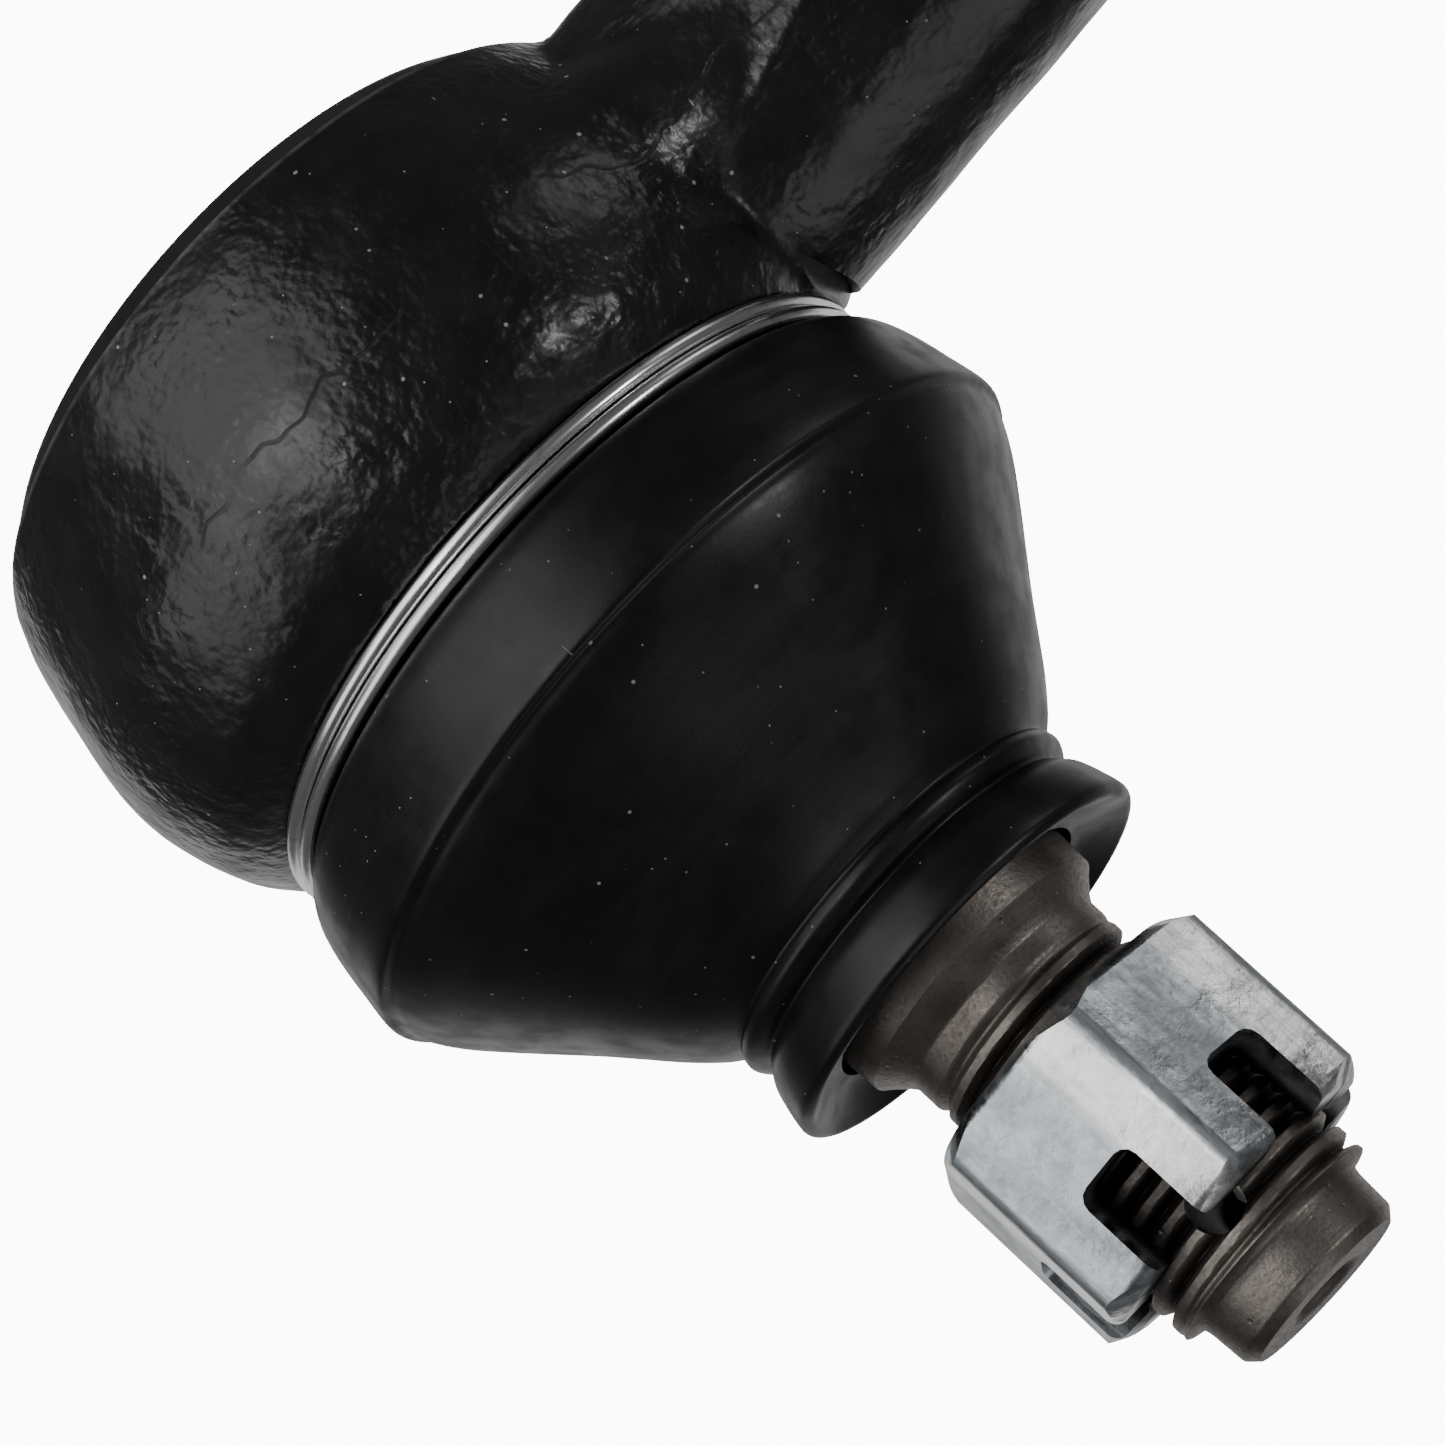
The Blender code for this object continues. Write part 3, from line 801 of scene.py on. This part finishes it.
@dataclass
class Housing:
    """Forged head with its shank, the threaded end and the pressed cover, in millimetres."""

    side: Tuple[Point, ...] = (
        (22.3, 0.15), (23.0, 2.0), (23.65, 3.6), (24.4, 5.6), (25.2, 9.0), (25.85, 12.0), (26.02, 13.9), (25.95, 15.8),
        (25.55, 18.0), (24.95, 20.0), (24.3, 21.4), (22.6, 23.6), (21.0, 24.6),
    )
    top: float = 26.6
    neck_radius: float = 20.2
    neck_face: float = 23.4
    groove_radius: float = 21.62
    ledge: float = 23.95
    ledge_radius: float = 22.7
    spot_radius: float = 24.1
    spot_edge: float = 22.7
    rim: Tuple[Point, ...] = ((16.0, 0.5), (21.0, 0.5), (21.8, 1.2), (22.5, 2.1), (22.85, 2.35))
    seat_bore: float = 16.5
    cover_bore: float = 19.0
    cover_bore_top: float = 5.9
    opening: Tuple[Point, ...] = ((13.2, 23.5), (14.6, 26.6))
    lip: Point = (16.9, 1.7)
    shank_radius: float = 11.42
    shank_height: float = 13.0
    shank_start: float = 17.0
    shank_shoulder: float = 58.6
    shank_end: float = 105.0
    flare: Tuple[Point, ...] = ((18.0, 18.6), (20.0, 16.6), (23.0, 14.4), (26.0, 12.9), (30.0, 11.7), (33.0, 11.2))
    flare_flatness: float = 0.58
    thread: Thread = Thread(11.0, 0.92, 1.5, 60.6, 103.9, 2.4)
    cover: Tuple[Point, ...] = (
        (0.0, 2.2), (14.0, 2.2), (15.0, 3.9), (18.7, 3.9), (18.7, 1.95), (16.5, 1.95), (16.3, 0.6), (15.6, 0.0),
        (11.6, 0.0), (11.2, 0.25), (9.4, 0.25), (9.0, 0.0), (0.0, 0.0),
    )
    die_line: Point = (17.0, 13.0)
    burr_height: float = 21.3
    voxel: float = 0.42
    paint: ForgedPaint = field(default_factory=ForgedPaint)
    turned_paint: TurnedPaint = field(default_factory=TurnedPaint)

    def blank(self) -> Object:
        """Forge the head, the shank and the web between them into one skin."""
        head = spun("housing_skin", [(0.0, 24.6)] + list(reversed(flowing(self.side, 3))) + [(0.0, 0.15)], 128)
        bar = [(0.0, self.shank_shoulder + 1.0), (10.7, self.shank_shoulder + 1.0),
               (self.shank_radius, self.shank_shoulder), (self.shank_radius, self.shank_start), (0.0, self.shank_start)]
        shank = spun("shank", bar, 96, Axis.SHANK, self.shank_height)
        line = [(0.0, self.flare[-1][0])] + [(r, x) for x, r in reversed(self.flare)] + [(0.0, self.flare[0][0])]
        web = spun("web", line, 96, Axis.SHANK, self.shank_height)
        opened(web)
        bpy.ops.transform.resize(value=(1.0, 1.0, self.flare_flatness),
                                 center_override=(0.0, 0.0, self.shank_height * MM))
        return fused("housing_skin", [head, shank, web], self.voxel, 7)

    def skin_height(self, spot: Vector, normal: Vector) -> float:
        """The forged skin's relief at a point, in millimetres.

        Args:
            spot: The point in millimetres.
            normal: The surface's normal there.

        Returns:
            How far the skin stands out.
        """
        lumps = 0.10 * grain(spot, 5.5, 3.0) + 0.035 * grain(spot, 2.6, 9.0) + 0.012 * grain(spot, 1.3, 5.0)
        if spot.x > self.shank_shoulder - 2.0:
            return 0.2 * lumps
        high, low = self.die_line
        crease = high - (high - low) * ease(spot.x, 24.0, 46.0) + 0.5 * grain(spot, 6.0, 1.0)
        sideways = ease(abs(normal.y), 0.55, 0.85) * ease(spot.x, 24.0, 29.0)
        off = abs(spot.z - crease)
        ridge = sideways * (0.24 * math.exp(-(off / 0.6) ** 2) - 0.14 * math.exp(-((off - 2.6) / 2.0) ** 2))
        burr = 0.0
        if math.hypot(spot.x, spot.y) > 22.0:
            burr = 0.07 * math.exp(-((spot.z - self.burr_height) / 0.9) ** 2) * (0.4 + grain(spot, 1.6, 4.0))
        calm = 0.35 if spot.z < 1.0 else 1.0
        return calm * lumps + ridge + burr

    def turned_cutters(self) -> List[Object]:
        """Make the lathe's cuts: the neck with its spot face, the rim and the bore."""
        far, wide, under = 40.0, 27.0, -3.0
        neck = [(self.neck_radius, far), (self.neck_radius, self.neck_face),
                (self.groove_radius - 0.04, self.neck_face), (self.groove_radius, self.ledge),
                (self.ledge_radius, self.ledge), (self.spot_radius, self.spot_edge), (self.spot_radius, far),
                (self.neck_radius, far)]
        start, end = self.rim[0], self.rim[-1]
        rim = [*self.rim, (wide, end[1]), (wide, under), (start[0], under), start]
        bore = [(0.0, far), (self.opening[1][0] + 1.0, far)] + list(reversed(self.opening))
        bore += [(self.seat_bore, self.opening[0][1]), (self.seat_bore, self.cover_bore_top),
                 (self.cover_bore, self.cover_bore_top), (self.cover_bore, self.lip[1]), self.lip, (self.lip[0], -2.0),
                 (0.0, -2.0)]
        return [spun("neck_cut", neck, 160), spun("rim_cut", rim, 160), spun("bore_cut", bore, 128)]

    def build_skin(self) -> Object:
        """Forge, roughen and turn the housing, then paint it, with its turned faces in their own paint."""
        body = embossed(self.blank(), self.skin_height)
        bevel, foot = 0.4, 21.0
        neck = spun("neck_boss", [(0.0, self.top), (self.neck_radius - bevel, self.top),
                                  (self.neck_radius, self.top - bevel), (self.neck_radius, foot), (0.0, foot)], 160)
        cut(body, neck, Cut.ONTO)
        for cutter in self.turned_cutters():
            cut(body, cutter)
        dressed(body, self.paint.material(), self.turned_paint.material())
        self.mark_turned(body)
        return smoothed(body, 35.0)

    def mark_turned(self, body: Object) -> None:
        """Give the turned faces their own paint."""
        drop, reach = self.ledge - self.spot_edge, self.spot_radius - self.ledge_radius
        rim_radius, rim_height = self.rim[-1]
        for face in body.data.polygons:
            x, y, z = face.center / MM
            radius = math.hypot(x, y)
            neck = z > self.neck_face - 0.01 and radius < self.groove_radius + 0.01
            ledge = abs(z - self.ledge) < 0.02
            spot = abs((radius - self.ledge_radius) * drop - (self.ledge - z) * reach) < 0.03
            wall = abs(radius - self.spot_radius) < 0.03 and z > self.spot_edge - 0.2
            rim = z < rim_height + 0.01 and radius < rim_radius + 0.05
            face.material_index = 1 if neck or ledge or spot or wall or rim else 0

    def build_thread(self) -> Object:
        """Roll the thread on the shank's end."""
        t = self.thread
        ends = [(0.0, self.shank_end), (9.2, self.shank_end), (9.5, self.shank_end), (9.9, self.shank_end - 0.3)]
        root, foot = t.crest - t.depth, self.shank_shoulder + 0.3
        tail = [(root, t.start - 0.5), (root, foot), (0.0, foot)]
        piece = spun("shank_thread", ends + t.band(12)[::-1] + tail, 96, Axis.SHANK, self.shank_height, 50.0)
        return dressed(t.roll(piece, Axis.SHANK, self.shank_height), self.turned_paint.material())

    def build_cover(self) -> Object:
        """Press the end cover, with rounded bends and a shallow dished ring."""
        piece = spun("end_cover_disc", evenly(rounded(self.cover, 0.35), 1.2), 128)
        return dressed(piece, self.turned_paint.material())

    def build(self) -> None:
        """Make the housing's pieces and fix them to the frame."""
        skin, thread, cover = self.build_skin(), self.build_thread(), self.build_cover()
        for piece in (skin, thread):
            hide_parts("housing")
        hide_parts("end_cover")
        for piece in (skin, thread, cover):
            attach(piece, "frame")
            report(piece)


@dataclass
class Boot:
    """Rubber dust boot with the two-turn wire that clamps its large end, in millimetres."""

    outer: Tuple[Point, ...] = (
        (9.1, 54.3), (9.9, 54.35), (11.9, 55.3), (12.5, 55.5), (12.95, 55.2), (12.95, 54.5), (12.45, 52.6),
        (11.9, 51.7), (11.65, 51.35), (12.1, 50.95), (12.45, 50.4), (12.4, 49.9), (12.25, 49.5), (12.75, 49.0),
        (13.6, 48.3), (15.05, 46.7), (16.6, 44.7), (18.15, 42.7), (19.8, 40.7), (21.45, 38.7), (22.95, 36.8),
        (23.9, 35.3), (24.2, 34.55), (24.6, 34.3), (24.7, 33.75), (24.45, 32.0), (24.1, 29.8), (23.6, 28.0),
        (22.9, 26.9), (22.2, 26.45), (21.35, 26.35), (21.35, 23.95), (21.0, 23.7),
    )
    inner: Tuple[Point, ...] = (
        (20.5, 23.7), (20.5, 26.9), (21.6, 28.2), (22.4, 30.0), (22.7, 33.2), (21.9, 35.2), (19.5, 38.3), (16.3, 42.2),
        (13.2, 46.0), (11.2, 48.6), (10.45, 49.6), (10.45, 53.5), (9.1, 53.5),
    )
    bend_start: float = 28.0
    bend_end: float = 50.0
    wavy: Point = (28.0, 52.0)
    wire_radius: float = 0.5
    wire_ring: float = 22.05
    wire_heights: Tuple[float, float] = (24.6, 25.7)
    wire_start: float = math.radians(-80.0)
    wire_crossing: float = math.radians(34.0)
    rubber: BootRubber = field(default_factory=BootRubber)
    zinc: ZincWire = field(default_factory=ZincWire)

    def build_rubber(self) -> Object:
        """Mould the boot as one closed wall."""
        line = flowing(self.outer, 5) + flowing(self.inner, 2) + [self.outer[0]]
        piece = spun("boot_rubber_wall", line, 192, sharp=50.0)
        low, high = self.wavy
        embossed(piece, lambda spot, normal: 0.035 * grain(spot, 9.0, 2.0) if low < spot.z < high else 0.0)
        return dressed(piece, self.rubber.material())

    def build_wire(self) -> Object:
        """Wind the clamp: two flat turns and the crossing between them on the far side."""
        sweep = 4.0 * math.pi - self.wire_crossing - math.radians(6.0)
        total = 220
        curve = bpy.data.curves.new("boot_clamp_wire", "CURVE")
        curve.dimensions = "3D"
        curve.bevel_depth = self.wire_radius * MM
        curve.bevel_resolution = 5
        curve.use_fill_caps = True
        spline = curve.splines.new("POLY")
        spline.points.add(total)
        for i, spot in enumerate(spline.points):
            turn = sweep * i / total
            share = ease(turn, 2.0 * math.pi - self.wire_crossing, 2.0 * math.pi)
            height = self.wire_heights[0] + (self.wire_heights[1] - self.wire_heights[0]) * share
            angle = self.wire_start + turn
            spot.co = (self.wire_ring * math.cos(angle) * MM, self.wire_ring * math.sin(angle) * MM, height * MM, 1.0)
        spline.use_smooth = True
        wire = bpy.data.objects.new("boot_clamp_wire", curve)
        bpy.context.scene.collection.objects.link(wire)
        only(wire)
        bpy.ops.object.convert(target="MESH")
        return dressed(tidy_faces(bpy.context.object, 60.0), self.zinc.material())

    def build(self) -> None:
        """Make the boot and its clamp, and fix the clamp to the frame."""
        rubber, wire = self.build_rubber(), self.build_wire()
        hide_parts("dust_boot")
        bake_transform(rubber)
        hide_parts("boot_clamp_ring")
        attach(wire, "frame")
        for piece in (rubber, wire):
            report(piece)


@dataclass
class Stud:
    """Ball stud with taper, rolled thread, dog point and cotter hole, in millimetres."""

    ball_radius: float = 11.5
    ball_height: float = 16.0
    ball_flat: float = 7.6
    neck: float = 7.4
    neck_line: Tuple[Point, ...] = ((7.4, 28.0), (7.8, 31.5), (8.9, 35.2))
    taper: Tuple[Point, ...] = ((9.5, 37.5), (8.53, 56.2))
    runout: Tuple[Point, ...] = ((8.50, 56.25), (8.2, 56.5), (7.35, 57.4), (7.0, 57.9), (7.0, 58.4))
    thread: Thread = Thread(7.0, 0.80, 1.5, 58.7, 77.9, 2.4)
    dog: Tuple[Point, ...] = ((5.95, 78.3), (5.86, 78.8), (5.75, 80.95), (5.15, 81.58))
    dimple: Tuple[Point, ...] = ((2.5, 81.58), (1.6, 81.05), (0.0, 80.75))
    hole_radius: float = 1.6
    hole_height: float = 75.0
    hole_angle: float = math.radians(88.3)
    steel: TurnedSteel = field(default_factory=TurnedSteel)

    def build(self) -> None:
        """Turn the stud, roll its thread and drill it."""
        t = self.thread
        neck_z = self.ball_height + math.sqrt(self.ball_radius ** 2 - self.neck ** 2)
        line = [(0.0, self.ball_flat)] + arc(self.ball_radius, self.ball_height, self.ball_flat, neck_z, 36)
        line += rounded([(self.neck, neck_z + 0.01), *self.neck_line, *self.taper], 1.5, 4)
        line += rounded(self.runout, 0.12, 2) + t.band(20)
        line += rounded([(6.25, t.end + 0.15), *self.dog], 0.14, 3)
        line += rounded([(5.1, 81.58), *self.dimple], 0.45, 4)
        piece = spun("stud_turned", line, 128, sharp=38.0)
        t.roll(piece)
        lone()
        bpy.ops.mesh.primitive_cylinder_add(vertices=48, radius=self.hole_radius * MM, depth=24.0 * MM,
                                            location=(0.0, 0.0, self.hole_height * MM),
                                            rotation=(math.pi / 2.0, 0.0, self.hole_angle + math.pi / 2.0))
        cut(piece, place_applied(bpy.context.object))
        dressed(smoothed(piece, 38.0), self.steel.material())
        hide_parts("ball_stud")
        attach(piece, "stud_body")
        report(piece)


@dataclass
class SlottedNut:
    """Hexagon nut with six cotter slots, in millimetres."""

    flats: float = 19.0
    low: float = 62.1
    high: float = 75.3
    corner_angle: float = math.radians(74.0)
    bore: Thread = Thread(7.5, 0.40, 1.5, 58.0, 79.0, 0.3)
    chamfer_face: float = 9.3
    chamfer_drop: float = 0.95
    seat_chamfer: float = 1.35
    slot_width: float = 4.2
    slot_floor: float = 69.7
    slot_corner: float = 0.9
    edge: float = 0.75
    slot_edge: float = 0.14
    zinc: ZincPlate = field(default_factory=ZincPlate)

    def slot_cutter(self, angle: float) -> Object:
        """Make the bar that mills one pair of slots, with soft lower corners."""
        lone()
        length, height = 30.0, 10.0
        bpy.ops.mesh.primitive_cube_add(size=1.0, location=(0.0, 0.0, (self.slot_floor + 0.5 * height) * MM),
                                        rotation=(0.0, 0.0, angle),
                                        scale=(length * MM, self.slot_width * MM, height * MM))
        bar = bpy.context.object
        bar.name = "slot_bar"
        along = Vector((math.cos(angle), math.sin(angle), 0.0))
        place_applied(bar)
        bpy.ops.object.mode_set(mode="EDIT")
        bpy.ops.mesh.select_all(action="DESELECT")
        bpy.ops.object.mode_set(mode="OBJECT")
        for edge in bar.data.edges:
            a, b = (bar.data.vertices[i].co for i in edge.vertices)
            if max(a.z, b.z) < (self.slot_floor + 0.1) * MM and abs((a - b).normalized().dot(along)) > 0.9:
                edge.select = True
        bpy.ops.object.mode_set(mode="EDIT")
        bpy.ops.mesh.select_mode(type="EDGE")
        bpy.ops.mesh.bevel(offset=self.slot_corner * MM, segments=3, profile=0.5)
        bpy.ops.mesh.select_mode(type="VERT")
        bpy.ops.object.mode_set(mode="OBJECT")
        return bar

    def build(self) -> None:
        """Form the hexagon, chamfer, slot and tap it."""
        corner = self.flats / math.sqrt(3.0)
        lone()
        bpy.ops.mesh.primitive_cylinder_add(vertices=6, radius=corner * MM, depth=(self.high - self.low) * MM,
                                            location=(0.0, 0.0, 0.5 * (self.low + self.high) * MM))
        nut = place_applied(bpy.context.object)
        nut.name = nut.data.name = "nut_hexagon"
        first = max(nut.data.vertices, key=lambda v: v.co.y).co
        nut.data.transform(Matrix.Rotation(self.corner_angle - math.atan2(first.y, first.x), 4, "Z"))
        worn_edges(nut, self.edge, 5, 50.0)
        face, wide, spare = self.chamfer_face, corner + 1.0, 0.001
        slope = (wide - face) / (corner - face)
        envelope = spun("nut_envelope", [
            (0.0, self.high + spare), (face, self.high + spare), (wide, self.high - self.chamfer_drop * slope),
            (wide, self.low + self.seat_chamfer * slope), (face, self.low - spare), (0.0, self.low - spare)], 96)
        cut(nut, envelope, Cut.WITHIN)
        for i in range(3):
            cut(nut, self.slot_cutter(self.corner_angle + math.radians(30.0 + 60.0 * i)))
        worn_edges(nut, self.slot_edge, 2, 55.0)
        tap = spun("nut_tap", [(0.0, self.bore.start), *self.bore.band(12), (0.0, self.bore.end)], 96)
        cut(nut, self.bore.roll(tap))
        dressed(tidy_faces(nut, 35.0), self.zinc.material())
        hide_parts("slotted_nut")
        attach(nut, "nut_body")
        report(nut)


@dataclass
class InnerPieces:
    """The pieces inside the housing and the boot keep their frame shapes and get their own finishes."""

    steel: InnerMetal = InnerMetal("spring_steel", tone(0.20, 0.20, 0.21), tone(0.07, 0.07, 0.08), 0.34)
    plate: InnerMetal = InnerMetal("pressed_plate", tone(0.34, 0.33, 0.32), tone(0.15, 0.14, 0.13), 0.38)
    acetal: InnerPlastic = InnerPlastic("greased_acetal", tone(0.62, 0.61, 0.56), tone(0.40, 0.33, 0.20), 0.36)
    seal: InnerPlastic = InnerPlastic("seal_rubber", tone(0.012, 0.012, 0.012), tone(0.03, 0.028, 0.025), 0.45)

    def build(self) -> None:
        """Dress each carried node."""
        dress = {
            "cover_seal": self.seal, "preload_spring": self.steel, "spring_plate": self.plate,
            "boot_support_ring": self.plate, "upper_seat": self.acetal, "lower_seat": self.acetal,
        }
        made = {finish.name: finish.material() for finish in dict.fromkeys(dress.values())}
        for node, finish in dress.items():
            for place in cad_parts[node].material_slots:
                place.material = made[finish.name]
            log.info("%-18s dressed with %s", node, finish.name)


# ---- studio


@dataclass(frozen=True)
class SoftBox:
    """A soft box: the direction to it, its distance and size in metres, and the brightness of its face."""

    name: str
    way: Tuple[float, float, float]
    distance: float
    size: Point
    glow: float

    def hang(self, aim: Vector) -> None:
        """Hang the box so that it faces a point."""
        light = bpy.data.lights.new(self.name, "AREA")
        light.shape, light.size, light.size_y = "RECTANGLE", self.size[0], self.size[1]
        light.energy = self.glow * math.pi * self.size[0] * self.size[1]
        box = bpy.data.objects.new(self.name, light)
        bpy.context.scene.collection.objects.link(box)
        direction = Vector(self.way).normalized()
        box.location = aim + direction * self.distance
        box.rotation_euler = direction.to_track_quat("Z", "Y").to_euler()
        box.visible_camera = False


@dataclass
class Studio:
    """Pale floor, soft boxes and the camera."""

    eye: Tuple[float, float, float] = (0.0288, 0.2405, 0.10668)
    right: Tuple[float, float, float] = (0.6475, -0.2853, 0.7067)
    up: Tuple[float, float, float] = (0.7538, 0.1037, -0.6488)
    lens: float = 111.66
    aim: Tuple[float, float, float] = (0.01, 0.0, 0.036)
    floor_size: float = 12.0
    boxes: Tuple[SoftBox, ...] = (
        SoftBox("front_box", (-0.28, 0.80, -0.55), 0.75, (0.64, 0.95), 1.35),
        SoftBox("left_box", (-0.75, 0.57, -0.10), 0.75, (0.45, 0.45), 1.3),
        SoftBox("strip_box", (-0.22, 0.96, -0.18), 0.70, (0.05, 0.50), 7.0),
        SoftBox("high_box", (0.97, 0.06, -0.25), 0.75, (0.28, 0.28), 1.3),
        SoftBox("patch_box", (0.77, 0.41, 0.48), 0.8, (0.12, 0.11), 22.0),
        SoftBox("back_box", (-0.05, -0.95, -0.10), 0.8, (1.6, 1.0), 0.7),
        SoftBox("top_box", (0.1, 0.1, 1.0), 1.2, (0.8, 0.8), 0.8),
    )
    floor_glow: float = 11.0
    floor_gap: float = 0.05
    world_glow: float = 0.075
    sensor: float = 36.0

    def floor(self) -> None:
        """Lay the pale floor, with a gentle unevenness in its paint."""
        lone()
        bpy.ops.mesh.primitive_plane_add(size=self.floor_size, location=(0.0, 0.0, -self.floor_gap * MM))
        floor = bpy.context.object
        floor.name = "studio_floor"
        s = Sheet("floor_paint")
        colour = s.mix(s.noise(300.0, 2.0), tone(0.92, 0.92, 0.92), tone(0.94, 0.94, 0.94))
        paint = s.finish(colour, 0.9, None, Specular_IOR_Level=0.1, Emission_Strength=self.floor_glow)
        floor.data.materials.append(paint)
        s.shader.inputs["Emission Color"].default_value = tone(1.0, 1.0, 1.0)
        floor.visible_glossy = floor.visible_shadow = floor.visible_diffuse = False

    def build(self) -> None:
        """Set the floor, the lights, the world and the camera."""
        self.floor()
        world = bpy.data.worlds.new("studio_world")
        world.use_nodes = True
        background = world.node_tree.nodes["Background"]
        background.inputs["Color"].default_value = tone(1.0, 1.0, 1.0)
        background.inputs["Strength"].default_value = self.world_glow
        bpy.context.scene.world = world
        for box in self.boxes:
            box.hang(Vector(self.aim))
        camera_data = bpy.data.cameras.new("studio_camera")
        camera_data.lens = self.lens
        camera_data.sensor_width = self.sensor
        camera_data.clip_start, camera_data.clip_end = 0.01, 50.0
        camera = bpy.data.objects.new("studio_camera", camera_data)
        bpy.context.scene.collection.objects.link(camera)
        right, up = Vector(self.right).normalized(), Vector(self.up)
        back = right.cross(up).normalized()
        up = back.cross(right).normalized()
        turn = Matrix((right, up, back)).transposed().to_4x4()
        camera.matrix_world = Matrix.Translation(Vector(self.eye)) @ turn
        bpy.context.scene.camera = camera


def report(piece: Object) -> None:
    """Log a finished piece's size."""
    corners = [Vector(c) for c in piece.bound_box]
    size = [(max(c[i] for c in corners) - min(c[i] for c in corners)) / MM for i in range(3)]
    triangles = sum(len(f.vertices) - 2 for f in piece.data.polygons)
    log.info("%-18s %6d triangles, %.1f x %.1f x %.1f mm", piece.name, triangles, *size)


def main() -> None:
    """Build the object in order and note its size."""
    logging.basicConfig(level=logging.INFO, format="%(message)s")
    Housing().build()
    Boot().build()
    Stud().build()
    SlottedNut().build()
    InnerPieces().build()
    Studio().build()


if __name__ == "__main__":
    main()
